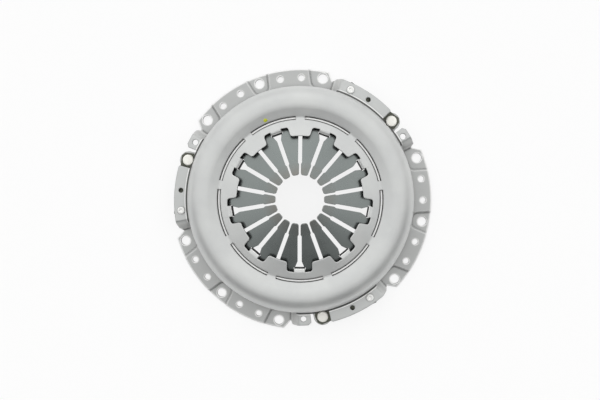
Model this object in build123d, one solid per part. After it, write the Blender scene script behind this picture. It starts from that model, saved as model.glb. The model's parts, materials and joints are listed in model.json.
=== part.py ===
from build123d import *
import os
from math import asin, atan2, cos, degrees, hypot, radians, sin, sqrt, tan

# Clutch cover assembly for a dry single-plate clutch, millimetres.
# Origin: centre of the flywheel mounting face. +Z points to the gearbox.

# --- flange and bolt circle ---
SHEET = 3.2                 # cover sheet thickness
FLANGE_R = 120.5            # outer radius of the flange
BOLT_CIRCLE_R = 114.0       # six bolts and three dowels, pitch circle 228
BOLT_HOLE_R = 4.3           # clearance for M8
DOWEL_HOLE_R = 4.05         # 8 mm dowel
BALANCE_CIRCLE_R = 112.8
BALANCE_HOLE_R = 2.6
FIRST_BOLT = 80.0           # angle of the first bolt hole, degrees
THIRD = 120.0               # the flange repeats three times
EMBOSS = 1.8                # the lands between the pads stand this much higher
SEAT_R = 9.0                # round seat of a bolt head

# --- raised strap bars ---
BAR_TOP = 18.8              # top face of the bars
BAR_R = 115.4               # outer radius of the bars
STRAP_CIRCLE_R = 109.4      # rivet circle of the straps
PLATE_RIVET_AT = 81.0       # angles counted from the first bolt of each third
COVER_RIVET_AT = 105.6

# --- dome ---
WALL_R = 103.2              # outer radius of the wall at the flange
WALL_DRAFT = 1.5            # degrees
DOME_TOP = 36.4
SPLIT_Z = 21.5              # height where dome and rim are modelled apart
RAMP_INSET = 0.05           # the ramps are thinner on each side by this
RAMP_REACH = 0.6            # and run this far into the wall above the split
VALLEY_R = 73.2
VALLEY_Z = 32.4
TAB_R = 56.5                # inner end of the nine tabs
TAB_Z = 36.9
NOTCH_R = 65.0              # outer end of the notches beside the hooks
HOOKS = 9
FIRST_HOOK = 110.0
HOOK_WIDTH = 9.7
HOOK_SHEET = 2.9
GROOVE_DEPTH = 1.4          # above each pivot bead

# --- diaphragm spring ---
SPRING_T = 2.3
CONE = 14.0                 # free cone angle, degrees
PIVOT_R = 72.6              # the spring rocks here
PIVOT_Z = 27.0
TIP_R = 21.75
SPRING_R = 92.0
FINGERS = 18
NOSE_R = 1.6                # radius of both pivot supports
FIT_GAP = 0.05

# --- pressure plate ---
FACE_Z = 5.0                # friction face with the clutch unbolted
PLATE_T = 10.0
PLATE_R = 97.5
PLATE_BORE_R = 65.0
RIDGE_R = 90.0
LUG_R = 8.2
LIFT = 3.5                  # travel from unbolted to fully released

# --- straps ---
LEAVES = 4
LEAF_T = 0.5
STRAP_WIDTH = 13.4
STRAP_END = 6.5             # from the rivet to the strap's end
STRAP_CHAMFER = 3.0

PACK_T = LEAVES * LEAF_T
BAR_UNDER = BAR_TOP - SHEET
SEAT_Z = BAR_UNDER - PACK_T - LIFT - 0.2
SPAN_ANGLE = COVER_RIVET_AT - PLATE_RIVET_AT
SPAN = 2 * STRAP_CIRCLE_R * sin(radians(SPAN_ANGLE / 2))
CONE_SLOPE = tan(radians(CONE))
THIRD_NAMES = ["a", "b", "c"]


def polar(radius, angle):
    """Point in plan at a radius and an angle in degrees."""
    return (radius * cos(radians(angle)), radius * sin(radians(angle)))


def polar_polygon(*corners):
    """Flat polygon from (angle, radius) corners."""
    points = [polar(radius, angle) for angle, radius in corners]
    return make_face(Polyline(*points, close=True))


def turned(shape, angle):
    return Rot(0, 0, angle) * shape


def prism(face, bottom, top):
    return Pos(0, 0, bottom) * extrude(face, top - bottom, dir=(0, 0, 1))


def parallel(points, radii, distance):
    """Filleted line moved sideways to the right of its travel."""
    normals = []
    for (x0, y0), (x1, y1) in zip(points, points[1:]):
        length = hypot(x1 - x0, y1 - y0)
        normals.append(((y1 - y0) / length, (x0 - x1) / length))
    first, last = normals[0], normals[-1]
    moved = [(points[0][0] + distance * first[0], points[0][1] + distance * first[1])]
    moved_radii = []
    for (x, y), radius, before, after in zip(points[1:], radii, normals, normals[1:]):
        share = distance / (1 + before[0] * after[0] + before[1] * after[1])
        moved.append((x + share * (before[0] + after[0]), y + share * (before[1] + after[1])))
        left_turn = before[0] * after[1] - before[1] * after[0] > 0
        moved_radii.append(radius + distance if left_turn else radius - distance)
    x, y = points[-1]
    moved.append((x + distance * last[0], y + distance * last[1]))
    return moved, moved_radii


def sheet_section(points, radii, thickness):
    """Section of bent sheet in the XZ plane, from its upper line."""
    lower, lower_radii = parallel(points, radii, thickness)
    upper_line = FilletPolyline(*points, radius=radii)
    lower_line = FilletPolyline(*lower, radius=lower_radii)
    ends = [Line(points[0], lower[0]), Line(points[-1], lower[-1])]
    outline = upper_line.edges() + lower_line.edges() + ends
    return Plane.XZ * make_face(outline)


def ring(section, start=0.0, arc=360.0):
    return turned(revolve(section, Axis.Z, arc), start)


def wall_r(height):
    return WALL_R - (height - SHEET) * tan(radians(WALL_DRAFT))


def dome_core():
    """Valley, crown and upper wall."""
    points = [
        (TAB_R - 4, TAB_Z + 4 * (TAB_Z - VALLEY_Z) / (VALLEY_R - TAB_R)),
        (VALLEY_R, VALLEY_Z),
        (VALLEY_R + 10.8, DOME_TOP),
        (wall_r(DOME_TOP), DOME_TOP),
        (wall_r(SPLIT_Z), SPLIT_Z),
    ]
    return ring(sheet_section(points, [3.0, 14.0, 14.3], SHEET))


def rim_section(level):
    """Lower wall and flange, with the flange's top face at a height."""
    points = [
        (wall_r(SPLIT_Z), SPLIT_Z),
        (wall_r(level), level),
        (FLANGE_R + 3, level),
    ]
    return sheet_section(points, [2.0], SHEET)


def ramp_section(level):
    """Rim section a hair thinner, and reaching up into the dome's wall."""
    points = [
        (wall_r(SPLIT_Z + RAMP_REACH), SPLIT_Z + RAMP_REACH),
        (wall_r(level), level),
        (FLANGE_R + 3, level),
    ]
    inset, radii = parallel(points, [2.0], RAMP_INSET)
    return sheet_section(inset, radii, SHEET - 2 * RAMP_INSET)


def ramp(pad_end, bar_end):
    """Sheet drawn from a bar down to a pad: rounded over, then steep."""
    steps = 5
    sections = []
    for step in range(steps + 1):
        share = step / steps
        fall = share * share * (RAMP_STEEP - (RAMP_STEEP - 1) * share)
        level = BAR_TOP - (BAR_TOP - SHEET) * fall
        sections.append(turned(ramp_section(level), bar_end + (pad_end - bar_end) * share))
    return loft(sections)


TAB_RAMP = (65.2, 70.0)     # from the third pad up to the small tab
BAR_RAMP = (110.2, 115.0)   # from the bar down to the next pad
RAMP_STEEP = 2.2            # 3 eases into the pad, less meets it in a crease


def rim():
    """Flange at pad height, with the raised bars and their ramps."""
    parts = []
    for third in range(3):
        start = FIRST_BOLT + third * THIRD
        low_arc = TAB_RAMP[0] - (BAR_RAMP[1] - THIRD)
        low = ring(rim_section(SHEET), start + BAR_RAMP[1] - THIRD, low_arc)
        high = ring(rim_section(BAR_TOP), start + TAB_RAMP[1], BAR_RAMP[0] - TAB_RAMP[1])
        up = ramp(start + TAB_RAMP[0], start + TAB_RAMP[1])
        down = ramp(start + BAR_RAMP[1], start + BAR_RAMP[0])
        parts += [low, high, up, down]
    return parts


def pad_shapes():
    """Pads of one third in plan: two beside a notch and one between."""
    first = polar_polygon((87.7, 135), (84.4, 105.2), (79, 104.8), (74, 105.2), (74, 135))
    dowel = polar_polygon((104.6, 135), (106.9, 105.2), (110, 104.9), (113.1, 105.2), (115.4, 135))
    last = polar_polygon((132.8, 135), (135.6, 105.2), (141, 104.8), (146, 105.2), (146, 135))
    corners = [(first, (84.4,)), (dowel, (106.9, 113.1)), (last, (135.6,))]
    shapes = []
    for face, angles in corners:
        places = [polar(105.2, angle) for angle in angles]
        picked = [v for v in face.vertices() if min(hypot(v.X - x, v.Y - y) for x, y in places) < 0.1]
        shapes.append(fillet(picked, 4.5))
    return shapes


def sector(inner, outer, start, end):
    """Flat ring sector."""
    middle = (start + end) / 2
    arcs = [
        ThreePointArc(polar(inner, start), polar(inner, middle), polar(inner, end)),
        ThreePointArc(polar(outer, start), polar(outer, middle), polar(outer, end)),
        Line(polar(inner, start), polar(outer, start)),
        Line(polar(inner, end), polar(outer, end)),
    ]
    return make_face(arcs)


def land(face, sides):
    """Flat press step with sloped edges where it meets the pads."""
    step = prism(face, 0, EMBOSS)
    top = step.edges().filter_by(lambda edge: edge.center().Z > EMBOSS - 0.01)
    sloped = [edge for edge in top if sides[0] < hypot(edge.center().X, edge.center().Y) < sides[1]]
    return chamfer(sloped, EMBOSS - 0.15)


def lands():
    """What the presses raise between the pads, and what they clear below."""
    raised = sector(101.2, 125, 80, 140)
    for pad in pad_shapes():
        raised -= pad
    upper = [Pos(0, 0, SHEET) * land(face, (103, 124)) for face in raised.faces()]
    lower = [land(sector(98, 125, 87.3, 104.3), (103, 124))]
    lower.append(land(sector(98, 125, 115.8, 132.7), (103, 124)))
    return upper, lower


def coined_seats():
    """Round seats pressed flat about the bolts that stand beside a ramp."""
    seats = []
    for offset in (0, 60):
        x, y = polar(BOLT_CIRCLE_R, FIRST_BOLT + offset)
        seats.append(Pos(x, y, 0) * prism(Circle(SEAT_R), SHEET, SHEET + 6))
    return seats


def outside_of_third():
    """Plan of what is trimmed away outside the flange over one third."""
    pad_end = [(142.8, FLANGE_R), (145.6, 112.4)]
    tab = [(146.6, 115.6), (154.0, 115.0), (155.4, 112.6), (155.2, 104.8)]
    opening = [polar(104.8, 155.2), polar(104.7, 160), polar(104.8, 164.6)]
    bar = [(164.6, 114.4), (165.3, BAR_R - 0.2)]
    bar_arc = [polar(BAR_R - 0.2, 165.3), polar(BAR_R, 178), polar(BAR_R + 0.4, 191.6)]
    bar_end = [(191.6, BAR_R + 0.4), (193.6, 115.4), (195.3, 112.8), (197.8, FLANGE_R)]
    outer_arc = [polar(FLANGE_R, 197.8), polar(140, 170), polar(FLANGE_R, 142.8)]
    lines = [
        Polyline(*[polar(r, a) for a, r in pad_end + tab]),
        ThreePointArc(*opening),
        Polyline(*[polar(r, a) for a, r in [(164.6, 104.8)] + bar]),
        ThreePointArc(*bar_arc),
        Polyline(*[polar(r, a) for a, r in bar_end]),
        ThreePointArc(*outer_arc),
    ]
    return make_face([edge for line in lines for edge in line.edges()])


def flange_holes():
    """Bolt, dowel, balance, tab and sighting holes of one third."""
    def hole(offset, circle_r, hole_r):
        x, y = polar(circle_r, FIRST_BOLT + offset)
        return Pos(x, y, 0) * prism(Circle(hole_r), -1, 30)

    holes = [hole(0, BOLT_CIRCLE_R, BOLT_HOLE_R), hole(60, BOLT_CIRCLE_R, BOLT_HOLE_R)]
    holes.append(hole(30, BOLT_CIRCLE_R, DOWEL_HOLE_R))
    holes += [hole(offset, BALANCE_CIRCLE_R, BALANCE_HOLE_R) for offset in (10, 20, 40, 50)]
    holes.append(hole(71.8, 109.2, BALANCE_HOLE_R))
    holes.append(hole(96.0, 109.4, 2.2))
    holes.append(hole(PLATE_RIVET_AT, STRAP_CIRCLE_R, 6.3))
    holes.append(hole(COVER_RIVET_AT, STRAP_CIRCLE_R, 2.5))
    return holes


def spring_point(radius, offset):
    """Point at a distance above the spring's middle surface at a radius."""
    height = PIVOT_Z - (radius - PIVOT_R) * CONE_SLOPE
    angle = radians(CONE)
    return (radius + offset * sin(angle), height + offset * cos(angle))


def pivot_beads():
    """Arcs pressed down into the valley: upper pivot of the spring."""
    nose_x, nose_z = spring_point(PIVOT_R, SPRING_T / 2 + NOSE_R + FIT_GAP)
    nose = make_face([
        ThreePointArc((nose_x - NOSE_R, nose_z), (nose_x, nose_z - NOSE_R), (nose_x + NOSE_R, nose_z)),
        Polyline((nose_x + NOSE_R, nose_z), (nose_x + NOSE_R, nose_z + 1), (nose_x - NOSE_R, nose_z + 1),
                 (nose_x - NOSE_R, nose_z)),
    ])
    floor = VALLEY_Z - GROOVE_DEPTH
    groove = make_face(Polyline((71.3, floor + 1.5), (71.9, floor), (73.9, floor), (74.4, floor + 1.5),
                                (74.4, floor + 5), (71.3, floor + 5), close=True))
    reach = 16.8
    noses, grooves = [], []
    for hook in range(HOOKS):
        start = FIRST_HOOK + hook * 360 / HOOKS - reach
        noses.append(ring(Plane.XZ * nose, start, 2 * reach))
        grooves.append(ring(Plane.XZ * groove, start, 2 * reach))
    return noses, grooves


def notch_plan():
    """Inner outline of the cover: round bore, notches and tab corners."""
    plan = Circle(TAB_R)
    side_in = (11.0, TAB_R - 6)
    side_out = (11.4, NOTCH_R * cos(asin(11.4 / NOTCH_R)))
    for hook in range(HOOKS):
        mouth = make_face(Polyline((-side_in[0], side_in[1]), (-side_out[0], side_out[1]),
                                   (0, NOTCH_R + 0.6), side_out, side_in, close=True))
        plan += turned(mouth, FIRST_HOOK + hook * 360 / HOOKS - 90)
    roots = [v for v in plan.vertices() if abs(hypot(v.X, v.Y) - NOTCH_R) < 0.3]
    plan = fillet(roots, 2.2)
    tips = [v for v in plan.vertices() if abs(hypot(v.X, v.Y) - TAB_R) < 0.3]
    return fillet(tips, 2.4)


def hook():
    """Tongue bent down through the spring and folded out under it."""
    slope = (TAB_Z - VALLEY_Z) / (VALLEY_R - TAB_R)
    leg_r = 61.0
    ring_bottom = spring_point(PIVOT_R, -(SPRING_T / 2 + NOSE_R + FIT_GAP))[1] - NOSE_R
    foot_z = ring_bottom - FIT_GAP - HOOK_SHEET
    points = [
        (69.0, VALLEY_Z + (VALLEY_R - 69.0) * slope),
        (leg_r, VALLEY_Z + (VALLEY_R - leg_r) * slope),
        (leg_r, foot_z),
        (76.0, foot_z),
    ]
    section = sheet_section([(x, z) for x, z in points[::-1]], [4.2, 3.6], HOOK_SHEET)
    return extrude(section, HOOK_WIDTH / 2, both=True)


def cover():
    core = dome_core()
    noses, grooves = pivot_beads()
    core += noses
    core -= grooves
    core -= prism(notch_plan(), 20, 50)
    body = core + rim()
    upper, lower = lands()
    trims = prism(outside_of_third(), -5, 30)
    for third in range(3):
        angle = third * THIRD
        body += [turned(land, angle) for land in upper]
        body -= [turned(land, angle) for land in lower]
        body -= [turned(seat, angle) for seat in coined_seats()]
        body -= turned(trims, angle)
        body -= [turned(hole, angle) for hole in flange_holes()]
    body &= prism(Circle(FLANGE_R), -1, 60)
    body += [turned(hook(), FIRST_HOOK + k * 360 / HOOKS) for k in range(HOOKS)]
    return body


def finger_slot(window):
    """Gap between two fingers, radial along +Y; wide at a hook's window."""
    half = 1.78
    lower = [(0.85, TIP_R - 3), (0.85, 31.2), (half, 32.6)]
    if window:
        upper = [(half + 0.1, 55.3), (3.95, 60.2), (5.4, 60.9), (5.4, 66.4)]
    else:
        upper = [(half, 57.0), (3.2, 59.0), (3.2, 63.2), (1.8, 65.0)]
    right = lower + upper
    left = [(-x, y) for x, y in right[::-1]]
    face = make_face(Polyline(*right, *left, close=True))
    ends = [v for v in face.vertices() if v.Y > 62]
    return fillet(ends, 1.4 if window else 0.8)


def diaphragm_spring():
    top_in = spring_point(TIP_R, SPRING_T / 2)
    low_in = spring_point(TIP_R, -SPRING_T / 2)
    top_out = spring_point(SPRING_R, SPRING_T / 2)
    low_out = spring_point(SPRING_R, -SPRING_T / 2)
    section = make_face(Polyline(top_in, top_out, low_out, low_in, close=True))
    disc = revolve(Plane.XZ * section, Axis.Z)
    plan = Circle(SPRING_R + 3) - Circle(TIP_R)
    for k in range(FINGERS):
        plan -= turned(finger_slot(k % 2 == 1), k * 360 / FINGERS)
    tips = [v for v in plan.vertices() if hypot(v.X, v.Y) < TIP_R + 0.2]
    plan = fillet(tips, 1.8)
    return disc & prism(plan, 0, 50)


def pivot_ring():
    """Wire ring under the spring, with the gap where its ends meet."""
    x, z = spring_point(PIVOT_R, -(SPRING_T / 2 + NOSE_R + FIT_GAP))
    wire = Plane.XZ * Pos(x, z) * Circle(NOSE_R)
    return ring(wire, 91.0, 358.8)


def lug():
    """Ear that carries a strap, centred on its rivet; the plate is along -X."""
    reach = STRAP_CIRCLE_R - PLATE_R + 4
    root = make_face(Polyline((-reach, -15), (-reach + 4, -12), (-2, -LUG_R), (0, -LUG_R), (0, LUG_R),
                              (-2, LUG_R), (-reach + 4, 12), (-reach, 15), close=True))
    return root + Circle(LUG_R)


def pressure_plate():
    back = FACE_Z + PLATE_T
    nose_x, nose_z = spring_point(RIDGE_R, -(SPRING_T / 2 + 1.5 + FIT_GAP))
    ridge_in, ridge_out = nose_x - 1.5, nose_x + 1.5
    edge = 1.0
    section = make_face([
        Polyline((ridge_in, nose_z), (ridge_in - 1.2, back), (PLATE_BORE_R + edge, back),
                 (PLATE_BORE_R, back - edge), (PLATE_BORE_R, FACE_Z + edge),
                 (PLATE_BORE_R + edge, FACE_Z), (PLATE_R - edge, FACE_Z), (PLATE_R, FACE_Z + edge),
                 (PLATE_R, back - 3), (PLATE_R - 2.5, back), (ridge_out + 1.2, back), (ridge_out, nose_z)),
        ThreePointArc((ridge_out, nose_z), (nose_x, nose_z + 1.5), (ridge_in, nose_z)),
    ])
    plate = revolve(Plane.XZ * section, Axis.Z)
    gap = Pos(nose_x, 0, back + 10) * Box(9, 12, 20)
    for third in range(3):
        angle = FIRST_BOLT + PLATE_RIVET_AT + third * THIRD
        x, y = polar(STRAP_CIRCLE_R, angle)
        plate += Pos(x, y, FACE_Z) * turned(prism(lug(), 0, SEAT_Z - FACE_Z), angle)
        plate -= Pos(x, y, 0) * prism(Circle(3.0), 0, 30)
        plate -= Pos(x, y, FACE_Z) * Cone(4.6, 3.0, 1.6, align=(Align.CENTER, Align.CENTER, Align.MIN))
        for offset in (0, 40, 80):
            plate -= turned(gap, angle + 29 + offset)
    return plate


def strap_leaf(layer):
    """Strap blade bent in an S; the plate's rivet at 0, the cover's at +X."""
    low = SEAT_Z + layer * LEAF_T
    high = BAR_UNDER - PACK_T + layer * LEAF_T
    bend_start, bend_end = 9.0, SPAN - 8.0
    middle = (bend_start + bend_end) / 2
    rise, run = high - low, bend_end - bend_start
    radius = (run * run / 4 + rise * rise / 4) / rise
    drop = radius - sqrt(radius * radius - (run / 4) ** 2)
    lines = []
    for lift in (0, LEAF_T):
        z0, z1 = low + lift, high + lift
        half = ((bend_start + middle) / 2, z0 + drop)
        other = ((middle + bend_end) / 2, z1 - drop)
        lines += [
            Line((-20, z0), (bend_start, z0)),
            ThreePointArc((bend_start, z0), half, (middle, (z0 + z1) / 2)),
            ThreePointArc((middle, (z0 + z1) / 2), other, (bend_end, z1)),
            Line((bend_end, z1), (SPAN + 20, z1)),
        ]
    lines += [Line((-20, low), (-20, low + LEAF_T)), Line((SPAN + 20, high), (SPAN + 20, high + LEAF_T))]
    blade = extrude(Plane.XZ * make_face(lines), STRAP_WIDTH, both=True)
    plan = Pos(SPAN / 2, 0) * Rectangle(SPAN + 2 * STRAP_END, STRAP_WIDTH)
    plan = chamfer(plan.vertices(), STRAP_CHAMFER)
    plan -= Circle(3.1)
    plan -= Pos(SPAN, 0) * Circle(2.5)
    return blade & prism(plan, 0, 30)


def strap_place(third):
    """Places a strap between its two rivets in one third."""
    start = FIRST_BOLT + PLATE_RIVET_AT + third * THIRD
    x, y = polar(STRAP_CIRCLE_R, start)
    return Pos(x, y, 0) * Rot(0, 0, start + SPAN_ANGLE / 2 + 90)


def cover_rivet():
    """Tubular rivet: set head with a dimple above, flat head below."""
    under = BAR_UNDER - PACK_T
    profile = make_face(Polyline((0, under - 2.0), (3.6, under - 2.0), (4.2, under - 1.2), (4.2, under), (2.5, under),
                                 (2.5, BAR_TOP), (3.45, BAR_TOP), (3.45, BAR_TOP + 0.7), (2.6, BAR_TOP + 1.5),
                                 (1.5, BAR_TOP + 1.5), (1.0, BAR_TOP + 0.8), (0, BAR_TOP + 0.8), close=True))
    return revolve(Plane.XZ * profile, Axis.Z)


def plate_rivet():
    """Large flat head above the straps, tail spread in the lug's sink."""
    seat = SEAT_Z + PACK_T
    profile = make_face(Polyline((0, FACE_Z), (4.6, FACE_Z), (3.0, FACE_Z + 1.6), (3.0, seat), (5.0, seat),
                                 (5.0, seat + 1.7), (4.4, seat + 2.3), (0, seat + 2.4), close=True))
    return revolve(Plane.XZ * profile, Axis.Z)


def build():
    nodes = {
        "cover": cover(),
        "diaphragm_spring": diaphragm_spring(),
        "pivot_ring": pivot_ring(),
        "pressure_plate": pressure_plate(),
    }
    for third, name in enumerate(THIRD_NAMES):
        for layer in range(LEAVES):
            nodes[f"strap_{name}_leaf_{layer + 1}"] = strap_place(third) * strap_leaf(layer)
        plate_at = polar(STRAP_CIRCLE_R, FIRST_BOLT + PLATE_RIVET_AT + third * THIRD)
        cover_at = polar(STRAP_CIRCLE_R, FIRST_BOLT + COVER_RIVET_AT + third * THIRD)
        nodes[f"plate_rivet_{name}"] = Pos(*plate_at, 0) * plate_rivet()
        nodes[f"cover_rivet_{name}"] = Pos(*cover_at, 0) * cover_rivet()
    return nodes


os.makedirs("parts", exist_ok=True)
for node, solid in build().items():
    export_step(solid, f"parts/{node}.step")
    print(node, round(solid.volume), len(solid.solids()))
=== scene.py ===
# %% [markdown]
# # A clutch cover assembly
#
# This lesson dresses a clutch pressure plate: a pressed steel cover, a diaphragm spring with
# eighteen fingers, a cast iron plate under it, and three packs of strap leaves that let the
# plate move. The exact shapes come from a CAD model. Here they get their finishes. The spring
# and the rivets are also made again by Geometry Nodes, finer than the model, and the strap
# leaves are made again as welded copies.

# %% Load the frame
import json
from math import asin, cos, inf, pi, radians, sin, sqrt, tan

import bmesh
import bpy
from mathutils import Matrix, Vector
from mathutils.bvhtree import BVHTree


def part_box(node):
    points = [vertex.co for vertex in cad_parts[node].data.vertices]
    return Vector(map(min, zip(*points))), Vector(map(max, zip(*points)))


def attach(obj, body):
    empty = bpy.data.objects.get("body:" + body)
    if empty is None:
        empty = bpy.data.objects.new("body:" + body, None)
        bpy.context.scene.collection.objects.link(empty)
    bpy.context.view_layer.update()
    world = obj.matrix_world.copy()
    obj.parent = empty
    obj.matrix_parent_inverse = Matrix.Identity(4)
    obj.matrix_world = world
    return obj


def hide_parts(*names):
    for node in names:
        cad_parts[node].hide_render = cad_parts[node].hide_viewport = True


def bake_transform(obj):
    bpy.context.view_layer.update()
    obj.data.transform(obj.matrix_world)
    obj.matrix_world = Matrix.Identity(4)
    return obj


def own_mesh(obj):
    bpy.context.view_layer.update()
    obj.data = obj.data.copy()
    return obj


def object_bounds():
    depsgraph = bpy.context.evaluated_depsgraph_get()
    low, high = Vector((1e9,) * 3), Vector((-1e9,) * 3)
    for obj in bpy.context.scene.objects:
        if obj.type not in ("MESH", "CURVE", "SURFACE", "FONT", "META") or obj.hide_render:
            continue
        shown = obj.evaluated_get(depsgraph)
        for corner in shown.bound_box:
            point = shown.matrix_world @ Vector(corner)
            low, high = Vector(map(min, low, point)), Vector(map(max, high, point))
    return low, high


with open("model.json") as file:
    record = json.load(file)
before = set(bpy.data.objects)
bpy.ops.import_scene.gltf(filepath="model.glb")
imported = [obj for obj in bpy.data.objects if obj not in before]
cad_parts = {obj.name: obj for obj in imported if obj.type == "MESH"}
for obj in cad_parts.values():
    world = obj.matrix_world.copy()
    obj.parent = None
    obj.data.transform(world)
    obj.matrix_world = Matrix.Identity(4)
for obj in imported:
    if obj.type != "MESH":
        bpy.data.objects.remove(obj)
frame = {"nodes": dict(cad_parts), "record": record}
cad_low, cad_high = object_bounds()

MM = 0.001
print("size in mm:", [round(v / MM, 1) for v in cad_high - cad_low])

# %% [markdown]
# ## Where the finishes start
#
# Every finish here is a node tree, and the same few steps come back in all of them: a node is
# made, its sockets are set, and its outputs are wired. That could be done by hand in the
# shader editor, but then it couldn't be read here or run again. One short function adds a
# node, and a small class on top of it lets each material below read as a recipe.


# %% Add a node
def add_node(tree, kind, inputs=None, **settings):
    """Adds a node, sets its options, and gives its inputs a value or a link each."""
    node = tree.nodes.new(kind)
    for key, value in settings.items():
        setattr(node, key, value)
    for key, value in (inputs or {}).items():
        if isinstance(value, bpy.types.NodeSocket):
            tree.links.new(value, node.inputs[key])
        else:
            node.inputs[key].default_value = value
    return node


print("node helper ready")


# %% A recipe for any finish
class Recipe:
    """A material's node tree, with short ways to make patterns and to mix them."""

    def __init__(self, name):
        self.material = bpy.data.materials.new(name)
        self.material.use_nodes = True
        self.tree = self.material.node_tree
        self.shader = self.tree.nodes["Principled BSDF"]
        self.place = self.add("ShaderNodeTexCoord").outputs["Object"]

    def add(self, kind, inputs=None, **settings):
        return add_node(self.tree, kind, inputs, **settings)

    def noise(self, size_mm, detail=3.0):
        """Cloudy pattern whose blotches are about this wide."""
        inputs = {"Vector": self.place, "Scale": 1 / (size_mm * MM), "Detail": detail}
        return self.add("ShaderNodeTexNoise", inputs).outputs["Fac"]

    def span(self, value, low, high, to_low=0.0, to_high=1.0):
        """Maps one range onto another and stops at its ends."""
        inputs = {"Value": value, "From Min": low, "From Max": high, "To Min": to_low, "To Max": to_high}
        return self.add("ShaderNodeMapRange", inputs).outputs["Result"]

    def spread(self, noise, low, high):
        """Spreads a noise pattern, whose middle part is 0.3 to 0.7, over a range."""
        return self.span(noise, 0.3, 0.7, low, high)

    def mix(self, share, first, second):
        """The first where the share is 0, the second where it is 1."""
        inputs = {"Factor": share, "A": first, "B": second}
        return self.add("ShaderNodeMix", inputs, data_type="RGBA").outputs["Result"]

    def maths(self, operation, first, second=0.0):
        return self.add("ShaderNodeMath", {0: first, 1: second}, operation=operation).outputs[0]

    def both(self, first, second):
        """1 only where two masks are 1."""
        return self.maths("MULTIPLY", first, second)

    def band(self, value, low, high, soft):
        """1 between two values, fading out over a softness on each side."""
        return self.both(self.span(value, low - soft, low), self.span(value, high + soft, high))

    def tint(self, tone, mask, share, colour):
        """Paints a share of a colour over a tone where a mask is 1."""
        return self.mix(self.maths("MULTIPLY", mask, share), tone, colour)

    def bump(self, height, depth_mm, normal=None):
        inputs = {"Height": height, "Distance": depth_mm * MM, "Strength": 1.0}
        if normal is not None:
            inputs["Normal"] = normal
        return self.add("ShaderNodeBump", inputs).outputs["Normal"]

    def finish(self, colour, roughness, normal, **constants):
        """Wires the three varying channels and writes the constant ones."""
        for socket, value in (("Base Color", colour), ("Roughness", roughness), ("Normal", normal)):
            self.tree.links.new(value, self.shader.inputs[socket])
        for socket, value in constants.items():
            self.shader.inputs[socket].default_value = value
        return self.material


print("recipe ready")

# %% [markdown]
# ## What metal shows
#
# Metal shows where it has been: worn edges, and marks at a certain distance from the axis or
# at a certain height. Here the shade in its corners and the highlights on its edges are
# painted into the colour as well. A painted image could hold these, but it would need an
# unwrapped surface. So a point's place and the way its face stands are read as numbers
# instead, and masks are made from them. The marks then follow the shape by themselves.

# %% A recipe for metal
FEELERS = 8                     # rays that feel for edges and corners round each point
EDGE_STARTS, EDGE_FULL = 0.995, 0.80    # cosine of how far the rounded normal leans over


class Metal(Recipe):
    """A recipe that also tells places, edges and corners apart."""

    def height(self):
        """Height above the table, in mm."""
        upward = self.add("ShaderNodeSeparateXYZ", {0: self.place}).outputs["Z"]
        return self.maths("DIVIDE", upward, MM)

    def radius(self):
        """Distance from the clutch's axis, in mm."""
        flat = self.add("ShaderNodeVectorMath", {0: self.place, 1: (1, 1, 0)}, operation="MULTIPLY")
        length = self.add("ShaderNodeVectorMath", {0: flat.outputs[0]}, operation="LENGTH")
        return self.maths("DIVIDE", length.outputs["Value"], MM)

    def level(self, normal="True Normal"):
        """1 on faces that look straight up or down, 0 on upright ones."""
        direction = self.add("ShaderNodeNewGeometry").outputs[normal]
        upward = self.add("ShaderNodeSeparateXYZ", {0: direction}).outputs["Z"]
        return self.maths("ABSOLUTE", upward)

    def soft_edges(self, radius_mm):
        """Normal rounded over near the edges, and a mask of those edges."""
        rounded = self.add("ShaderNodeBevel", {"Radius": radius_mm * MM}, samples=FEELERS).outputs[0]
        normal = self.add("ShaderNodeNewGeometry").outputs["Normal"]
        likeness = self.add("ShaderNodeVectorMath", {0: rounded, 1: normal}, operation="DOT_PRODUCT")
        return rounded, self.span(likeness.outputs["Value"], EDGE_STARTS, EDGE_FULL)

    def crevices(self, reach_mm, open_sky=0.80, shut_in=0.40, inside=False):
        """1 in narrow corners that little light reaches, 0 in the open.

        Looking from inside the metal, those corners are its raised edges."""
        inputs = {"Distance": reach_mm * MM}
        sky = self.add("ShaderNodeAmbientOcclusion", inputs, samples=FEELERS, inside=inside)
        return self.span(sky.outputs["AO"], open_sky, shut_in)


print("metal recipe ready")

# %% [markdown]
# ## Coated sheet
#
# The cover is pressed from 3.2 mm sheet and leaves the works with a thin grey conversion
# coat. It is paler than bare steel, only half mirror-like, and shows a fine dry grain.
#
# Pressing leaves marks, and light and shade are painted on as well; each of them is a mask
# here: how far a point is from the axis, how high it lies and how level its face is tell
# where it is on the cover. Painted highlights lie on the bends of the hooks, the raised
# corners, the floors of the grooves and a ring at the foot of the wall. Painted shade lies
# in the grooves' corners, the hollows, the sunk corners of the steps, the notch edges and a
# line at the foot of the wall, and the sheared rim is bare, darker steel. The marks could be
# wired one by one. A table of tints, laid on from its first line to its last, is easier to
# read and to change.

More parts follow.
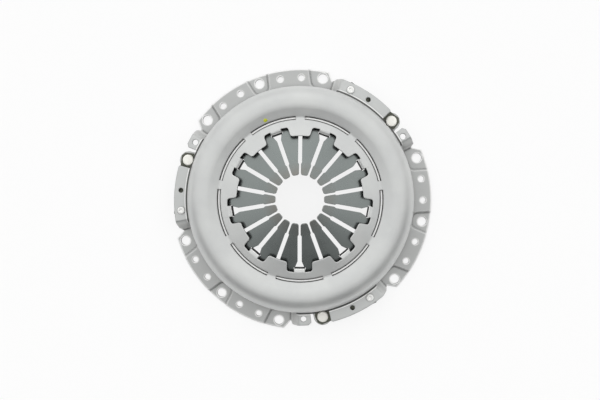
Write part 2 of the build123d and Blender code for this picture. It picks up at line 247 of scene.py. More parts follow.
# %% Tints of the sheet
COAT = (0.52, 0.53, 0.525, 1), (0.58, 0.59, 0.58, 1)
COAT_GRAIN = (0.40, 0.41, 0.40, 1)
TINTS = {                       # share of the tint, and its red, green and blue
    "wall": (0.25, (0.82, 0.825, 0.82)),
    "lands": (0.72, (0.36, 0.365, 0.36)),
    "bars": (0.40, (0.40, 0.41, 0.405)),
    "ramps": (0.60, (0.72, 0.72, 0.71)),
    # painted highlight and painted shade along the foot of the wall, on the raised bars
    "wall foot highlight": (0.70, (0.97, 0.97, 0.96)),
    "wall foot shade": (0.92, (0.04, 0.04, 0.038)),
    # painted shade in wide hollows, hollows and cracks
    "wide hollows": (0.35, (0.12, 0.12, 0.117)),
    "hollows": (0.75, (0.10, 0.10, 0.098)),
    "cracks": (0.92, (0.035, 0.035, 0.033)),
    # a painted highlight on the raised corners of the flange's steps, painted shade in the sunk ones
    "raised corners": (0.70, (0.97, 0.97, 0.96)),
    "sunk corners": (0.90, (0.04, 0.04, 0.038)),
    # painted shade in the corners of the grooves, a painted highlight on their floors
    "groove corners": (0.90, (0.03, 0.03, 0.028)),
    "groove floors": (0.65, (0.97, 0.97, 0.96)),
    # a painted highlight on the bends of the hooks
    "hook bends": (0.95, (0.94, 0.94, 0.93)),
    "sheared rim": (0.60, (0.24, 0.242, 0.24)),
    # painted shade on the upright notch edges
    "notch edges": (0.95, (0.015, 0.015, 0.014)),
}
print("tints on the sheet:", len(TINTS))

# %% Places on the cover
# Radii are in mm from the axis and heights in mm above the table. How level a face is runs
# from 0, upright, to 1.
WALL, WALL_LEVEL = (92, 104), (0.85, 0.55)
FLANGE_FROM = 104.4             # past the foot of the dome's wall
LANDS_BELOW = 6                 # the level parts of the flange, between its ramps
RAMPS_FROM, BARS_FROM, BARS_FULL = 7, 15.8, 18.2
# radii of a painted highlight and of a painted shade line along the foot of the wall, on the raised bars
FOOT_HIGHLIGHT_RING, FOOT_SHADE_LINE = (105.1, 105.7), (103.5, 104.8)


def wall_and_flange_parts(steel, radius, height, level):
    """Masks of the wall, lands, bars and ramps, and of a painted highlight and shade at the wall's foot."""
    outside = steel.span(radius, FLANGE_FROM, FLANGE_FROM + 0.6)
    raised = steel.span(height, BARS_FROM - 1, BARS_FROM)
    return {
        "wall": steel.both(steel.span(level, *WALL_LEVEL), steel.band(radius, *WALL, soft=1)),
        "lands": steel.both(outside, steel.span(height, LANDS_BELOW + 3, LANDS_BELOW)),
        "bars": steel.both(outside, steel.span(height, BARS_FROM, BARS_FULL)),
        "ramps": steel.both(outside, steel.band(height, RAMPS_FROM, BARS_FROM, soft=2)),
        "wall foot highlight": steel.both(raised, steel.band(radius, *FOOT_HIGHLIGHT_RING, soft=0.2)),
        "wall foot shade": steel.both(raised, steel.band(radius, *FOOT_SHADE_LINE, soft=0.2)),
    }


def corner_shade_and_highlights(steel, lands):
    """Masks of painted shade in hollows and cracks, and of painted highlights and shade at the corners of
    the flange's steps.
    """
    raised = steel.crevices(1.5, open_sky=0.92, shut_in=0.80, inside=True)
    sunk = steel.crevices(1.9, open_sky=0.93, shut_in=0.68)
    return {
        "wide hollows": steel.crevices(8.0, open_sky=0.80, shut_in=0.50),
        "hollows": steel.crevices(3.0, open_sky=0.66, shut_in=0.48),
        "cracks": steel.crevices(1.2),
        "raised corners": steel.both(lands, raised),
        "sunk corners": steel.both(lands, sunk),
    }


print("masks for the wall and flange parts and the corners ready")

# %% Grooves, cuts and folds
GROOVE_MIDDLE, GROOVE_FLOOR = 72.85, 31.0
GROOVE_INNER, GROOVE_OUTER = 0.75, 1.65     # mm aside of its middle: its floor, its corners
NOTCHES_UP_TO, NOTCH_LEVEL = 66.5, (0.66, 0.58)
HOOK_LEVEL = (0.67, 0.83)
RIM_FROM, RIM_LEVEL = 105.5, (0.30, 0.18)


def groove_lines(steel, radius, height):
    """Masks of painted shade in the corners along each pivot groove, and of a painted highlight on its
    floor.
    """
    aside = steel.maths("ABSOLUTE", steel.maths("SUBTRACT", radius, GROOVE_MIDDLE))
    sunk = steel.span(height, GROOVE_FLOOR + 1.3, GROOVE_FLOOR + 1.1)
    upper_skin = steel.span(height, GROOVE_FLOOR - 0.6, GROOVE_FLOOR - 0.3)
    inside = steel.both(sunk, upper_skin)
    return {
        "groove corners": steel.both(inside, steel.band(aside, GROOVE_INNER, GROOVE_OUTER, soft=0.1)),
        "groove floors": steel.both(inside, steel.span(aside, GROOVE_INNER, GROOVE_INNER - 0.15)),
    }


def cuts_and_folds(steel, radius, level):
    """Masks of a painted highlight on the hooks' bends, of the sheared rim, and of painted shade on the
    notch edges.
    """
    near_fingers = steel.span(radius, NOTCHES_UP_TO + 0.5, NOTCHES_UP_TO)
    past_wall = steel.span(radius, RIM_FROM - 1, RIM_FROM)
    return {
        "hook bends": steel.both(steel.band(level, *HOOK_LEVEL, soft=0.03), near_fingers),
        "sheared rim": steel.both(steel.span(level, *RIM_LEVEL), past_wall),
        "notch edges": steel.both(steel.span(level, *NOTCH_LEVEL), near_fingers),
    }


print("masks for the grooves, cuts and folds ready")


# %% Coated sheet
def coated_sheet():
    steel = Metal("coated_sheet")
    rounded, _ = steel.soft_edges(radius_mm=1.3)
    radius, height, level = steel.radius(), steel.height(), steel.level()
    clouds = steel.noise(size_mm=28, detail=4)
    grain = steel.noise(size_mm=0.9, detail=6)
    tone = steel.mix(steel.span(clouds, 0.35, 0.65), *COAT)
    tone = steel.tint(tone, steel.span(grain, 0.62, 0.78), 0.30, COAT_GRAIN)

    masks = wall_and_flange_parts(steel, radius, height, level)
    masks.update(corner_shade_and_highlights(steel, masks["lands"]))
    masks.update(groove_lines(steel, radius, height))
    masks.update(cuts_and_folds(steel, radius, level))
    for mark, (share, colour) in TINTS.items():
        tone = steel.tint(tone, masks[mark], share, (*colour, 1))

    rough = steel.maths("MAXIMUM", steel.spread(clouds, 0.40, 0.48), masks["notch edges"])
    return steel.finish(tone, rough, steel.bump(grain, 0.012, rounded), Metallic=0.5)


cover_finish = coated_sheet()
print("made", cover_finish.name)

# %% [markdown]
# ## Heat-treated spring steel
#
# The spring is hardened and tempered, then shot-peened. The heat leaves a grey-green skin
# that turns brown towards the tips of the fingers, and the shot leaves it evenly dull. The
# brown could be painted on each finger. The distance from the axis gives it to all eighteen
# at once, and some noise keeps them from looking alike.

# %% Spring steel
SPRING_SKIN = (0.165, 0.183, 0.179, 1), (0.205, 0.223, 0.217, 1)
SPRING_EDGE = (0.36, 0.38, 0.37, 1)
SPRING_SHADE = (0.012, 0.014, 0.013, 1)
HEAT_BROWN = (0.17, 0.150, 0.130, 1)
HEAT_STARTS, HEAT_FULL = 34, 24     # mm from the axis


def tempered_spring():
    steel = Metal("tempered_spring")
    rounded, edges = steel.soft_edges(radius_mm=0.4)
    clouds = steel.noise(size_mm=14, detail=4)
    peening = steel.noise(size_mm=0.6)
    towards_tip = steel.span(steel.radius(), HEAT_STARTS, HEAT_FULL)
    heat = steel.both(towards_tip, steel.span(clouds, 0.35, 0.6, 0.1, 0.5))
    tone = steel.mix(clouds, *SPRING_SKIN)
    tone = steel.mix(heat, tone, HEAT_BROWN)
    tone = steel.tint(tone, edges, 0.3, SPRING_EDGE)
    shade = steel.crevices(3.0, open_sky=0.66, shut_in=0.32)
    tone = steel.tint(tone, shade, 0.9, SPRING_SHADE)
    rough = steel.spread(clouds, 0.24, 0.31)
    return steel.finish(tone, rough, steel.bump(peening, 0.008, rounded), Metallic=0.9)


spring_finish = tempered_spring()
print("made", spring_finish.name)

# %% [markdown]
# ## Wire, straps and rivets
#
# The pivot ring is drawn wire, the strap leaves are blued strip with an oily sheen, and the
# rivets are cold-headed steel with a pale plating. They are all small, so finer marks
# wouldn't be seen: two tones in soft clouds carry them, and a paler worn edge where the
# piece has one.

# %% Wire and strip
WIRE_TONES = (0.16, 0.165, 0.16, 1), (0.24, 0.245, 0.24, 1)
STRIP_TONES = (0.050, 0.054, 0.043, 1), (0.105, 0.108, 0.084, 1)
STRIP_EDGE = (0.30, 0.30, 0.27, 1)


def drawn_wire():
    steel = Metal("drawn_wire")
    clouds = steel.noise(size_mm=6)
    rough = steel.spread(clouds, 0.3, 0.42)
    return steel.finish(steel.mix(clouds, *WIRE_TONES), rough, steel.bump(clouds, 0.01), Metallic=0.85)


def blued_strip():
    steel = Metal("blued_strip")
    rounded, edges = steel.soft_edges(radius_mm=0.2)
    clouds = steel.noise(size_mm=9, detail=4)
    tone = steel.tint(steel.mix(clouds, *STRIP_TONES), edges, 0.7, STRIP_EDGE)
    rough = steel.spread(clouds, 0.32, 0.46)
    return steel.finish(tone, rough, steel.bump(clouds, 0.01, rounded), Metallic=0.6)


wire_finish = drawn_wire()
strap_finish = blued_strip()
print("made", wire_finish.name, "and", strap_finish.name)

# %% Rivets
LARGE_RIVET_TONES = (0.84, 0.83, 0.77, 1), (0.95, 0.94, 0.89, 1)
SMALL_RIVET_TONES = (0.76, 0.765, 0.75, 1), (0.92, 0.92, 0.90, 1)
RIVET_EDGE = (0.85, 0.84, 0.80, 1)


def plated_rivet(name, tones, metal):
    steel = Metal(name)
    rounded, edges = steel.soft_edges(radius_mm=0.3)
    clouds = steel.noise(size_mm=3, detail=4)
    tone = steel.tint(steel.mix(clouds, *tones), edges, 0.3, RIVET_EDGE)
    rough = steel.spread(clouds, 0.38, 0.5)
    return steel.finish(tone, rough, steel.bump(clouds, 0.02, rounded), Metallic=metal)


plate_rivet_finish = plated_rivet("plated_large_rivet", LARGE_RIVET_TONES, metal=0.2)
cover_rivet_finish = plated_rivet("plated_small_rivet", SMALL_RIVET_TONES, metal=0.25)
print("made", plate_rivet_finish.name, "and", cover_rivet_finish.name)

# %% [markdown]
# ## Grey iron
#
# The plate is a grey iron casting. Its sides and lugs keep the sandy cast skin, and the
# friction face and the back are turned, which leaves fine rings round the axis. Two materials
# would need the faces sorted between them. The face normal tells them apart in one: what
# looks straight up or down has been under the tool.

# %% Grey iron
CAST_TONES = (0.17, 0.17, 0.165, 1), (0.27, 0.27, 0.26, 1)
TURNED_TONES = (0.40, 0.405, 0.40, 1), (0.50, 0.505, 0.50, 1)
TURNED_LEVEL = (0.97, 0.995)
TOOL_PITCH = 0.45               # mm between the rings


def grey_iron():
    iron = Metal("grey_iron")
    rounded, _ = iron.soft_edges(radius_mm=0.6)
    sand = iron.noise(size_mm=1.6, detail=6)
    turned = iron.span(iron.level("Normal"), *TURNED_LEVEL)
    rings = iron.maths("SINE", iron.maths("MULTIPLY", iron.radius(), 2 * pi / TOOL_PITCH))
    cut_tone = iron.mix(iron.noise(size_mm=20), *TURNED_TONES)
    tone = iron.mix(turned, iron.mix(sand, *CAST_TONES), cut_tone)
    height = iron.mix(turned, sand, iron.span(rings, -1, 1, 0.3, 0.6))
    rough = iron.span(turned, 0, 1, 0.62, 0.36)
    return iron.finish(tone, rough, iron.bump(height, 0.05, rounded), Metallic=0.75)


plate_finish = grey_iron()
print("made", plate_finish.name)

# %% [markdown]
# ## Finishes onto the CAD pieces
#
# The CAD pieces already have the right shape, so each one only needs its material. They could
# be dressed by name. The record says which material slot each piece takes its finish from, so
# a table of slots dresses them all, and none is forgotten.

# %% Dress the CAD pieces
FINISH_OF = {
    "cover_steel": cover_finish,
    "spring_steel": spring_finish,
    "wire_steel": wire_finish,
    "plate_iron": plate_finish,
    "strap_steel": strap_finish,
    "small_rivet_steel": cover_rivet_finish,
    "large_rivet_steel": plate_rivet_finish,
}
for part in frame["record"]["subparts"]:
    mesh = frame["nodes"][part["node"]].data
    mesh.materials.clear()
    mesh.materials.append(FINISH_OF[part["material_slot"]])
print("dressed", len(frame["nodes"]), "CAD pieces")

# %% [markdown]
# ## One tree for everything that goes round
#
# Fingers and rivets all stand in a circle about the clutch's axis. An Array modifier could
# repeat them round a turned empty. One Geometry Nodes tree does it for each of them with its
# sizes as named inputs: it lays out points on a circle, puts a turned copy of the piece on
# each, makes the copies real and welds the ones that touch. The piece itself is modelled
# once, standing on the +X axis side of the circle.

# %% The ring tree
RING_INPUTS = {
    "Piece": "Geometry",
    "Copies": "Int",
    "Radius": "Float",
    "First Angle": "Float",
    "Weld Distance": "Float",
    "Finish": "Material",
}


def ring_tree():
    tree = bpy.data.node_groups.new("ring_of_copies", "GeometryNodeTree")
    for name, kind in RING_INPUTS.items():
        tree.interface.new_socket(name, in_out="INPUT", socket_type="NodeSocket" + kind)
    tree.interface.new_socket("Ring", in_out="OUTPUT", socket_type="NodeSocketGeometry")
    given = add_node(tree, "NodeGroupInput")

    def add(kind, inputs=None, **settings):
        return add_node(tree, kind, inputs, **settings).outputs[0]

    index = add("GeometryNodeInputIndex")
    step = add("ShaderNodeMath", {0: 2 * pi, 1: given.outputs["Copies"]}, operation="DIVIDE")
    terms = {0: index, 1: step, 2: given.outputs["First Angle"]}
    angle = add("ShaderNodeMath", terms, operation="MULTIPLY_ADD")
    turn = add("ShaderNodeCombineXYZ", {"Z": angle})
    arm = add("ShaderNodeCombineXYZ", {"X": given.outputs["Radius"]})
    place = add("ShaderNodeVectorRotate", {"Vector": arm, "Rotation": turn}, rotation_type="EULER_XYZ")
    points = add("GeometryNodePoints", {"Count": given.outputs["Copies"], "Position": place})
    on_points = {"Points": points, "Instance": given.outputs["Piece"], "Rotation": turn}
    copies = add("GeometryNodeInstanceOnPoints", on_points)
    real = add("GeometryNodeRealizeInstances", {0: copies})
    touching = {"Geometry": real, "Distance": given.outputs["Weld Distance"]}
    welded = add("GeometryNodeMergeByDistance", touching)
    dressed = add("GeometryNodeSetMaterial", {"Geometry": welded, "Material": given.outputs["Finish"]})
    add_node(tree, "NodeGroupOutput", {"Ring": dressed})
    return tree


RING = ring_tree()
print("ring tree has", len(RING.nodes), "nodes")


# %% Use the ring tree
def new_object(name, data):
    thing = bpy.data.objects.new(name, data)
    bpy.context.scene.collection.objects.link(thing)
    return thing


def ring_of(name, piece_mesh, finish, copies, radius_mm=0.0, first_angle=0.0, weld_mm=0.002):
    """Copies of a piece round the axis, as one plain mesh object."""
    maker = new_object(name + "_maker", piece_mesh)
    modifier = maker.modifiers.new("ring", "NODES")
    modifier.node_group = RING
    values = {
        "Copies": copies,
        "Radius": radius_mm * MM,
        "First Angle": radians(first_angle),
        "Weld Distance": weld_mm * MM,
        "Finish": finish,
    }
    for socket in RING.interface.items_tree:
        if socket.name in values:
            modifier[socket.identifier] = values[socket.name]
    evaluated = bpy.context.evaluated_depsgraph_get()
    mesh = bpy.data.meshes.new_from_object(maker.evaluated_get(evaluated))
    mesh.name = name
    bpy.data.objects.remove(maker)
    return new_object(name, mesh)


def soften(mesh, sharp_from=32):
    """Smooth shading, broken where two faces meet at more than an angle in degrees."""
    mesh.polygons.foreach_set("use_smooth", [True] * len(mesh.polygons))
    mesh.set_sharp_from_angle(angle=radians(sharp_from))


print("ring helper ready")

# %% [markdown]
# ## The diaphragm spring
#
# The spring is a shallow steel cone. Slots cut it into eighteen fingers, and every other slot
# widens into a window for a hook of the cover. Booleans could cut the slots out of a disc, but
# they leave long, uneven faces. It is one rule repeated: two fingers that mirror each other,
# nine times round. So each finger is a grid of faces whose two long sides follow the slots,
# bent onto the cone and given a thickness.

# %% Spring sizes
# Lengths are in mm. R is a distance from the axis, and Z a height above the table.
SPRING_THICKNESS = 2.3
CONE_ANGLE = radians(14)
PIVOT_R, PIVOT_Z = 72.6, 27.0
TIP_R, RIM_R = 21.75, 92.0
TIP_ROUND = 1.8
FINGERS = 18
SLOT_NECK = [(TIP_R, 0.85), (31.2, 0.85), (32.6, 1.78)]     # each point is R and half the width
PLAIN_SLOT = SLOT_NECK + [(57.0, 1.78), (59.0, 3.2), (63.2, 3.2), (65.0, 1.8)]
WINDOW_SLOT = SLOT_NECK + [(55.3, 1.88), (60.2, 3.95), (60.9, 5.4), (65.0, 5.4), (66.4, 4.0)]
for title, slot in (("plain slot", PLAIN_SLOT), ("window slot", WINDOW_SLOT)):
    print(title, "ends at", slot[-1][0], "mm and is up to", 2 * max(half for _, half in slot), "mm wide")

# %% Slots and rows
HAIR = 0.0001                   # mm, so that a point on a slot's end still counts
PAST_END = 0.002                # mm, where the slot has just closed
SAME_ROW = 0.0015               # mm, rows nearer than this are one
EVEN_ROWS = [26 + 2.5 * step for step in range(27)]
EXTRA_ROWS = [61.4, 66.0]       # beside the corners of the window


def slot_half(radius, slot):
    """Half width of a slot in mm at a radius, and 0 past its end."""
    if radius > slot[-1][0] + HAIR:
        return 0.0
    for (r0, half0), (r1, half1) in zip(slot, slot[1:]):
        if radius <= r1:
            half = half0 + (half1 - half0) * (radius - r0) / (r1 - r0)
            break
    inside_tip = TIP_ROUND - (radius - TIP_R)
    if inside_tip > 0:
        half += TIP_ROUND - sqrt(TIP_ROUND ** 2 - inside_tip ** 2)
    return half


def finger_rows():
    """Radii of the rows of points, closest where the slots change width."""
    rows = [TIP_R + TIP_ROUND * (1 - cos(radians(turn))) for turn in range(0, 91, 15)]
    for slot in (PLAIN_SLOT, WINDOW_SLOT):
        rows += [radius for radius, _ in slot[1:]] + [slot[-1][0] + PAST_END]
    rows = sorted(rows + EVEN_ROWS + EXTRA_ROWS + [RIM_R])
    return [r for r, after in zip(rows, rows[1:] + [inf]) if after - r > SAME_ROW]


print("rows of points on a finger:", len(finger_rows()))

# %% Points of a finger
FACES_ACROSS = 10
PITCH = 2 * pi / FINGERS        # angle from one slot to the next


def cone_point(radius, angle, offset):
    """Point at a distance above the spring's middle surface, in metres."""
    along = radius + offset * sin(CONE_ANGLE)
    height = PIVOT_Z - (radius - PIVOT_R) * tan(CONE_ANGLE) + offset * cos(CONE_ANGLE)
    return Vector((along * cos(angle), along * sin(angle), height)) * MM


def finger_layer(mesh, offset, mirror):
    """One side of a finger, as rows of points from the plain slot to the window."""
    layer = []
    for radius in finger_rows():
        start = asin(slot_half(radius, PLAIN_SLOT) / radius)
        end = PITCH - asin(slot_half(radius, WINDOW_SLOT) / radius)
        angles = [start + (end - start) * step / FACES_ACROSS for step in range(FACES_ACROSS + 1)]
        layer.append([mesh.verts.new(cone_point(radius, mirror * a, offset)) for a in angles])
    return layer


def mesh_from(work, name):
    """Ends the work on a mesh and keeps its result."""
    result = bpy.data.meshes.new(name)
    work.to_mesh(result)
    work.free()
    return result


print("points on a finger:", 2 * len(finger_rows()) * (FACES_ACROSS + 1))


# %% Two fingers
def skin_finger(mesh, top, bottom):
    """Faces over both sides of a finger, its two ends, and its edges along the slots."""
    rows = finger_rows()
    for i in range(len(rows) - 1):
        for j in range(FACES_ACROSS):
            mesh.faces.new((top[i][j], top[i + 1][j], top[i + 1][j + 1], top[i][j + 1]))
            mesh.faces.new((bottom[i][j + 1], bottom[i + 1][j + 1], bottom[i + 1][j], bottom[i][j]))
        if slot_half(rows[i], PLAIN_SLOT) > 0:
            mesh.faces.new((top[i][0], bottom[i][0], bottom[i + 1][0], top[i + 1][0]))
        if slot_half(rows[i], WINDOW_SLOT) > 0:
            mesh.faces.new((top[i + 1][-1], bottom[i + 1][-1], bottom[i][-1], top[i][-1]))
    for j in range(FACES_ACROSS):
        mesh.faces.new((top[0][j], top[0][j + 1], bottom[0][j + 1], bottom[0][j]))
        mesh.faces.new((top[-1][j + 1], top[-1][j], bottom[-1][j], bottom[-1][j + 1]))


def finger_pair():
    """A finger and its mirror image, between two windows."""
    mesh = bmesh.new()
    for mirror in (1, -1):
        top = finger_layer(mesh, SPRING_THICKNESS / 2, mirror)
        bottom = finger_layer(mesh, -SPRING_THICKNESS / 2, mirror)
        skin_finger(mesh, top, bottom)
    bmesh.ops.remove_doubles(mesh, verts=mesh.verts, dist=0.001 * MM)
    bmesh.ops.recalc_face_normals(mesh, faces=mesh.faces)
    return mesh_from(mesh, "finger_pair")


spring = ring_of("diaphragm_spring_fingers", finger_pair(), spring_finish, FINGERS // 2, first_angle=90)
soften(spring.data)
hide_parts("diaphragm_spring")
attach(spring, "cover_body")
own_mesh(spring)
print("spring:", len(spring.data.polygons), "faces")

# %% [markdown]
# ## Rivets
#
# Two sorts of rivet hold each strap. A wide flat head joins it to the plate, and a narrow
# tubular one, set with a punch that leaves a dimple, joins it to the cover. A Screw modifier
# could spin them. A short loop does it too, and closes the points on the axis as well. So the
# outline is spun once, with its corners rounded, and the ring tree makes three.

# %% Spin an outline
CORNER_SHARE = 0.45             # the most that a rounded corner takes of a side


def rounded_outline(points, radius):
    """Outline of (r, z) points with every corner between its ends rounded over."""
    outline = [Vector(points[0])]
    for before, corner, after in zip(points, points[1:], points[2:]):
        corner = Vector(corner)
        back, ahead = Vector(before) - corner, Vector(after) - corner
        reach = min(radius, back.length * CORNER_SHARE, ahead.length * CORNER_SHARE)
        start, end = corner + back.normalized() * reach, corner + ahead.normalized() * reach
        for share in (0, 0.25, 0.5, 0.75, 1):
            outline.append(start.lerp(corner, share).lerp(corner.lerp(end, share), share))
    outline.append(Vector(points[-1]))
    return outline


def spun(name, points, radius, around=48):
    """Closed round solid from an outline in mm that starts and ends on its axis."""
    mesh = bmesh.new()
    outline = rounded_outline(points, radius)
    angles = [2 * pi * step / around for step in range(around)]
    rings = []
    for r, z in outline[1:-1]:
        rings.append([mesh.verts.new(Vector((r * cos(a), r * sin(a), z)) * MM) for a in angles])
    for lower, upper in zip(rings, rings[1:]):
        for k in range(around):
            n = (k + 1) % around
            mesh.faces.new((lower[k], lower[n], upper[n], upper[k]))
    for ring, (_, z) in ((rings[0], outline[0]), (rings[-1], outline[-1])):
        centre = mesh.verts.new((0, 0, z * MM))
        for k in range(around):
            mesh.faces.new((ring[k], ring[(k + 1) % around], centre))
    bmesh.ops.recalc_face_normals(mesh, faces=mesh.faces)
    return mesh_from(mesh, name)


print("lathe ready")

# %% Outlines of the two rivets
plate_low, plate_high = (corner.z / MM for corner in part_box("plate_rivet_a"))
cover_low, cover_high = (corner.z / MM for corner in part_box("cover_rivet_a"))
PLATE_RIVET = [
    (0, plate_low), (4.55, plate_low),                      # its tapered foot
    (2.95, plate_low + 1.6), (2.95, plate_high - 2.35),     # the shank
    (5.0, plate_high - 2.35), (5.0, plate_high - 0.5),      # the side of the flat head
    (4.2, plate_high - 0.02), (0, plate_high),              # the top, all but level
]
COVER_RIVET = [
    (0, cover_low), (3.8, cover_low), (4.2, cover_low + 2.0),                   # the foot
    (2.45, cover_low + 2.0), (2.45, cover_high - 1.5),                          # the shank
    (3.45, cover_high - 1.5), (3.4, cover_high - 0.6), (2.6, cover_high),       # the head
    (1.7, cover_high), (1.2, cover_high - 0.7), (0, cover_high - 0.8),          # its dimple
]
print("rivets are", round(plate_high - plate_low, 2), "and", round(cover_high - cover_low, 2), "mm high")

# %% Plate rivets and cover rivets
THIRDS = "abc"
RIVET_CIRCLE = 109.4            # mm from the axis
PLATE_RIVET_AT, COVER_RIVET_AT = 161.0, 185.6   # degrees from the +X axis


def rivet_set(kind, one, finish, angle, body):
    """A rivet for each third of the clutch, in the place of the three CAD nodes."""
    rivets = ring_of(kind + "s", one, finish, len(THIRDS), RIVET_CIRCLE, angle)
    soften(rivets.data, sharp_from=40)
    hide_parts(*[f"{kind}_{third}" for third in THIRDS])
    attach(rivets, body)
    print(rivets.name, "have", len(rivets.data.polygons), "faces")


large_rivet = spun("plate_rivet", PLATE_RIVET, radius=0.4)
small_rivet = spun("cover_rivet", COVER_RIVET, radius=0.3)
rivet_set("plate_rivet", large_rivet, plate_rivet_finish, PLATE_RIVET_AT, "plate_body")
rivet_set("cover_rivet", small_rivet, cover_rivet_finish, COVER_RIVET_AT, "cover_body")

# %% [markdown]
# ## Strap leaves
#
# Each strap is a pack of four thin leaves. One end is riveted to the cover and the other to
# the plate, and they bend in an S as the plate moves. A CAD piece can't bend, and an armature
# would be much work for twelve leaves. Each leaf gets a welded copy, shaded smooth, in place
# of its CAD piece.

# %% Welded leaves
LEAVES = 4


def welded_copy(node, name):
    """A copy of a CAD piece whose loose triangles are joined."""
    mesh = frame["nodes"][node].data.copy()
    work = bmesh.new()
    work.from_mesh(mesh)
    bmesh.ops.remove_doubles(work, verts=work.verts, dist=0.002 * MM)
    work.to_mesh(mesh)
    work.free()
    return new_object(name, mesh)


for third in THIRDS:
    for layer in range(1, LEAVES + 1):
        node = f"strap_{third}_leaf_{layer}"
        leaf = welded_copy(node, f"strap_{third}_blade_{layer}")
        soften(leaf.data, sharp_from=30)
        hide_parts(node)
        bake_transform(leaf)

# %% [markdown]
# ## Inspection dab
#
# The inspector's brush leaves a dab of yellow-green paint on the dome. It could be a mask in
# the coat, but paint lies on the sheet and has a thickness. So it is a low blob with a ragged
# edge: its points are dropped onto the cover from above and raised a little more towards the
# middle.

# %% Points of the dab
# Lengths are in mm. The dab is made of rings round its middle.
DAB_AT = Vector((-31.2, 70.3))
DAB_RADIUS, DAB_HEIGHT = 1.95, 0.34
DAB_SINK = 0.02                 # its edge goes this far into the sheet
DAB_DEPTH = 0.75                # of its width, measured away from the axis
DAB_SMEAR = 0.25                # the brush pulls it outward
DAB_WAVES = ((0.06, 3, 1), (0.04, 7, 0))    # height, number and start of the waves round it
DAB_AROUND, DAB_RINGS = 28, 5
OUTWARD = DAB_AT.normalized()
SIDEWAYS = Vector((-OUTWARD.y, OUTWARD.x))


def dab_point(cover, share, angle):
    """Point on the dab, from share 0 in its middle to 1 on its edge, in metres."""
    ragged = 1 + sum(high * sin(number * angle + start) for high, number, start in DAB_WAVES)
    reach = DAB_RADIUS * share * ragged
    smear = 1 + DAB_SMEAR * max(0, cos(angle)) ** 3
    spot = DAB_AT + OUTWARD * reach * smear * DAB_DEPTH * cos(angle) + SIDEWAYS * reach * sin(angle)
    above = Vector((spot.x * MM, spot.y * MM, 100 * MM))
    hit = cover.ray_cast(above, Vector((0, 0, -1)))[0]
    return hit + Vector((0, 0, (DAB_HEIGHT * (1 - share ** 2) - DAB_SINK) * MM))


print("the dab lies", round(DAB_AT.length, 1), "mm from the axis")

# %% Paint
PAINT_TONES = (0.42, 0.47, 0.015, 1), (0.62, 0.66, 0.04, 1)
FOOT_DEPTH = 0.5                # mm, the closed underside ends this far below its top


def wet_paint():
    paint = Recipe("yellow_green_paint")
    clouds = paint.noise(size_mm=1.2)
    tone, rough = paint.mix(clouds, *PAINT_TONES), paint.spread(clouds, 0.25, 0.4)
    return paint.finish(tone, rough, paint.bump(clouds, 0.08))


def paint_dab():
    cover = BVHTree.FromObject(frame["nodes"]["cover"], bpy.context.evaluated_depsgraph_get())
    mesh = bmesh.new()
    centre = mesh.verts.new(dab_point(cover, 0, 0))
    inner = [centre] * DAB_AROUND
    angles = [2 * pi * k / DAB_AROUND for k in range(DAB_AROUND)]
    for ring in range(1, DAB_RINGS + 1):
        outer = [mesh.verts.new(dab_point(cover, ring / DAB_RINGS, a)) for a in angles]
        for k in range(DAB_AROUND):
            n = (k + 1) % DAB_AROUND
            corners = (inner[k], outer[k], outer[n], inner[n]) if ring > 1 else (centre, outer[k], outer[n])
            mesh.faces.new(corners)
        inner = outer
    foot = mesh.verts.new(centre.co - Vector((0, 0, FOOT_DEPTH * MM)))
    for k in range(DAB_AROUND):
        mesh.faces.new((inner[(k + 1) % DAB_AROUND], inner[k], foot))
    return mesh_from(mesh, "inspection_dab")


dab = new_object("inspection_dab", paint_dab())
dab.data.materials.append(wet_paint())
soften(dab.data, sharp_from=60)
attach(dab, "cover_body")
print("paint dab:", len(dab.data.polygons), "faces")

# %% [markdown]
# ## Table
#
# The clutch lies on its flange on a white table that curves up into a low wall all round. A
# brighter lamp would turn the table white, but the clutch with it. So the table glows for
# rays that look at it, which makes a white background without adding light to the clutch. It
# glows a little less than fully, and what is left shows a soft shadow.

# %% Table paint
TABLE_PAINT = (0.9, 0.9, 0.9, 1)
WHITE = (1, 1, 1, 1)
TABLE_GLOW = 0.84               # what is left of 1 shows the clutch's shadow


def rays_that_look(tree):
    """1 for rays that see the room, straight, in a mirror or through glass, else 0."""
    rays = add_node(tree, "ShaderNodeLightPath")
    seen = rays.outputs["Is Camera Ray"]
    for kind in ("Is Glossy Ray", "Is Transmission Ray"):
        either = {0: seen, 1: rays.outputs[kind]}
        seen = add_node(tree, "ShaderNodeMath", either, operation="MAXIMUM").outputs[0]
    return seen


def table_paint():
    paint = bpy.data.materials.new("white_table")
    paint.use_nodes = True
    tree = paint.node_tree
    tree.nodes.clear()
    lit = add_node(tree, "ShaderNodeBsdfDiffuse", {"Color": TABLE_PAINT}).outputs[0]
    glow = add_node(tree, "ShaderNodeEmission", {"Color": WHITE}).outputs[0]
    factors = {0: rays_that_look(tree), 1: TABLE_GLOW}
    share = add_node(tree, "ShaderNodeMath", factors, operation="MULTIPLY").outputs[0]
    blend = add_node(tree, "ShaderNodeMixShader", {"Fac": share, 1: lit, 2: glow}).outputs[0]
    add_node(tree, "ShaderNodeOutputMaterial", {"Surface": blend})
    return paint


print("table paint ready")

# %% Table
TABLE_RADIUS = 2.0              # metres, the flat part under the clutch
SWEEP_RADIUS = 6.0
SWEEP_RISE = 0.7                # half the height of the wall behind
TABLE_GAP = 0.2 * MM            # keeps the clutch's lowest faces clear of the table


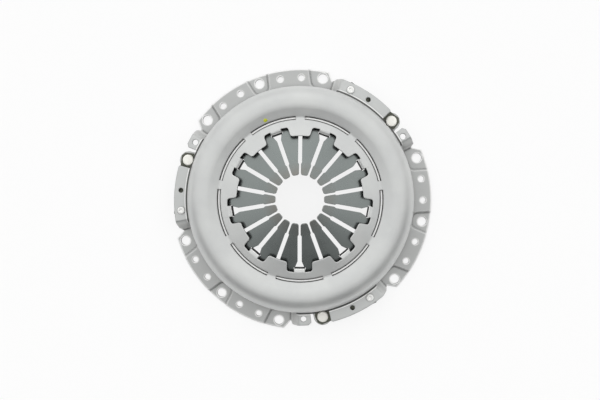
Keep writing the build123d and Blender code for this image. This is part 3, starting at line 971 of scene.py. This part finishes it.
def sweep(radius, rise, across, around=96):
    """Floor that curves up all round into a low wall, from rings of points."""
    bend = [radians(90 * step / 8) for step in range(9)]
    outline = [(radius - rise + rise * sin(turn), rise - rise * cos(turn)) for turn in bend]
    outline = [(across, 0)] + outline + [(radius, 2 * rise)]
    angles = [2 * pi * step / around for step in range(around)]
    mesh = bmesh.new()
    rings = [[mesh.verts.new((r * cos(a), r * sin(a), z)) for a in angles] for r, z in outline]
    mesh.faces.new(rings[0])
    for inner, outer in zip(rings, rings[1:]):
        for k in range(around):
            n = (k + 1) % around
            mesh.faces.new((inner[k], outer[k], outer[n], inner[n]))
    return mesh_from(mesh, "table")


table = new_object("table", sweep(SWEEP_RADIUS, SWEEP_RISE, TABLE_RADIUS))
table.data.materials.append(table_paint())
table.data.transform(Matrix.Translation((0, 0, cad_low.z - TABLE_GAP)))
print("table at z =", round((cad_low.z - TABLE_GAP) / MM, 2), "mm")

# %% [markdown]
# ## Light
#
# Metal shows what it reflects, so the room matters more than the lamp. Lamps alone would
# leave black gaps in the reflections. Here one large, weak lamp adds a little from one side,
# and a room of greys does the rest: a wide bright field overhead, like a soft box, and a
# darker band below it, all round.


# %% Lamp
def lamp(name, azimuth, elevation, distance, size, watts):
    """A round lamp that looks at the origin: angles in degrees, lengths in metres."""
    data = bpy.data.lights.new(name, "AREA")
    data.shape = "DISK"
    data.size = size
    data.energy = watts
    turn, lift = radians(azimuth), radians(elevation)
    flat = distance * cos(lift)
    holder = new_object(name, data)
    holder.location = Vector((flat * cos(turn), flat * sin(turn), distance * sin(lift)))
    holder.rotation_mode = "QUATERNION"
    holder.rotation_quaternion = (-holder.location).to_track_quat("-Z", "Y")
    return holder


window = lamp("window", azimuth=100, elevation=50, distance=1.6, size=1.0, watts=0.6)
print("lamp of", round(window.data.energy, 2), "W")

# %% Soft box room
ROOM_LIGHT = 1.38
BOX_TOWARDS = Vector((-0.09, 0.50, 0.86))
BOX_SHAPE = (0.6, 1, 1)         # the box is wider than it is deep
# How bright the room is, from straight away from the box, 0, to its middle, 1. The first two
# steps lie under the table, for a look from below with the table away.
BOX_STEPS = (
    (0.0, 0.55), (0.16, 0.55), (0.26, 0.03), (0.62, 0.08), (0.72, 0.15),
    (0.76, 0.33), (0.79, 0.65), (0.83, 0.88), (0.87, 1.0), (1.0, 1.0),
)

world = bpy.data.worlds.new("soft_box_room")
bpy.context.scene.world = world
world.use_nodes = True
room = world.node_tree


def vector_maths(operation, first, second=(0, 0, 0), output=0):
    inputs = {0: first, 1: second}
    return add_node(room, "ShaderNodeVectorMath", inputs, operation=operation).outputs[output]


outward = add_node(room, "ShaderNodeTexCoord").outputs["Generated"]
stretched = vector_maths("NORMALIZE", vector_maths("MULTIPLY", outward, BOX_SHAPE))
nearness = vector_maths("DOT_PRODUCT", stretched, BOX_TOWARDS.normalized(), "Value")
whole_range = {"Value": nearness, "From Min": -1.0, "From Max": 1.0}
share = add_node(room, "ShaderNodeMapRange", whole_range).outputs["Result"]
glow = add_node(room, "ShaderNodeValToRGB", {"Fac": share})
while len(glow.color_ramp.elements) < len(BOX_STEPS):
    glow.color_ramp.elements.new(0.5)
for stop, (place, grey) in zip(glow.color_ramp.elements, BOX_STEPS):
    stop.position = place
    stop.color = (grey, grey, grey, 1)
background = room.nodes["Background"]
room.links.new(glow.outputs["Color"], background.inputs["Color"])
background.inputs["Strength"].default_value = ROOM_LIGHT
bpy.context.scene.view_settings.view_transform = "Standard"
print("room with", len(BOX_STEPS), "steps of grey")

# %% [markdown]
# ## Camera
#
# The camera hangs 77 cm above the flange, a touch to the right of the axis, and looks down.
# Its lens could be set by eye. It is worked out instead, from its height and the width that
# has to fit the frame, and its place from the pixel on which the clutch's axis falls.

# %% Camera
CAMERA_HEIGHT = 770 * MM        # above the flange
FIELD = 557.1 * MM              # width that the frame holds at the flange
FRAME_WIDTH, FRAME_HEIGHT = 600, 400
SENSOR = 36                     # mm
PAD_TOP = 3.2 * MM
CENTRE_PIXEL = (300.79, 199.26)     # where the clutch's axis meets the flange
LEAN_RIGHT, LEAN_UP = 1.5, 0.3      # degrees that the camera stands off the axis
ROLL = 0.3                      # degrees

pixel = FIELD / FRAME_WIDTH
aim_x = (FRAME_WIDTH / 2 - CENTRE_PIXEL[0]) * pixel
aim_y = (CENTRE_PIXEL[1] - FRAME_HEIGHT / 2) * pixel
aim = Vector((aim_x, aim_y, PAD_TOP))
offset = Vector((tan(radians(LEAN_RIGHT)), tan(radians(LEAN_UP)), 1)) * CAMERA_HEIGHT

camera_data = bpy.data.cameras.new("camera")
camera_data.sensor_width = SENSOR
camera_data.lens = SENSOR * CAMERA_HEIGHT / FIELD
camera_data.clip_start, camera_data.clip_end = 0.01, 20     # metres
camera = new_object("camera", camera_data)
bpy.context.scene.camera = camera

back = offset.normalized()
up = Vector((-sin(radians(ROLL)), cos(radians(ROLL)), 0))
right = up.cross(back).normalized()
up = back.cross(right)
turn = Matrix((right, up, back)).transposed()
camera.matrix_world = Matrix.Translation(aim + offset) @ turn.to_4x4()
print("camera lens", round(camera_data.lens, 1), "mm")

# %% [markdown]
